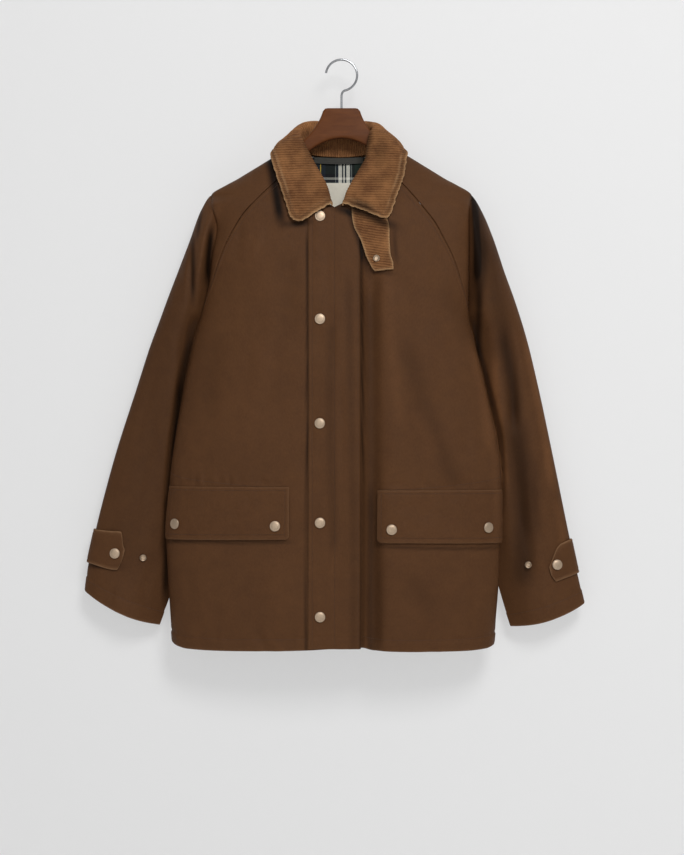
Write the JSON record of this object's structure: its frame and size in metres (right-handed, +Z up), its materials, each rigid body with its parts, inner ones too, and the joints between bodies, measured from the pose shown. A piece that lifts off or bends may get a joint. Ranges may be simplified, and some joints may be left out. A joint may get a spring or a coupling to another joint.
{
  "type": "waxed cotton jacket on a hanger",
  "caption": "Hip-length waxed cotton jacket with corduroy collar, storm placket, flap pockets and raglan sleeves, hanging from a broad-necked hanger.",
  "frame": {"origin": "inside top of the hanger's hook, where the rail or peg bears", "axes": "+Z up, the jacket's front faces -Y, +X to the viewer's right seen from the front"},
  "size_m": [0.804, 0.1229, 0.9417],
  "materials": {
    "waxed_cotton": "dark brown waxed cotton, low uneven sheen",
    "corduroy": "tan corduroy, horizontal wales on the leaves",
    "lining": "dark checked cotton",
    "label": "bare cream woven patch",
    "loop_band": "dark woven band",
    "snap_metal": "satin champagne metal",
    "hanger": "satin brown moulding",
    "hook_wire": "bright bent wire"
  },
  "bodies": {
    "root": {"front_left": "waxed_cotton", "front_right": "waxed_cotton", "back_panel": "waxed_cotton", "sleeve_left": "waxed_cotton", "sleeve_right": "waxed_cotton", "storm_placket": "waxed_cotton", "pocket_flap_left": "waxed_cotton", "pocket_flap_right": "waxed_cotton", "cuff_tab_left": "waxed_cotton", "cuff_tab_right": "waxed_cotton", "collar": "corduroy", "throat_tab": "corduroy", "placket_snap_1": "snap_metal", "placket_snap_2": "snap_metal", "placket_snap_3": "snap_metal", "placket_snap_4": "snap_metal", "placket_snap_5": "snap_metal", "flap_snap_left_inner": "snap_metal", "flap_snap_left_outer": "snap_metal", "flap_snap_right_inner": "snap_metal", "flap_snap_right_outer": "snap_metal", "cuff_snap_left": "snap_metal", "cuff_snap_right": "snap_metal", "cuff_stud_left": "snap_metal", "cuff_stud_right": "snap_metal", "throat_stud": "snap_metal", "neck_lining": "lining", "neck_label": "label", "hanging_loop": "loop_band", "hanger_body": "hanger", "hanger_hook": "hook_wire"}
  },
  "joints": []
}
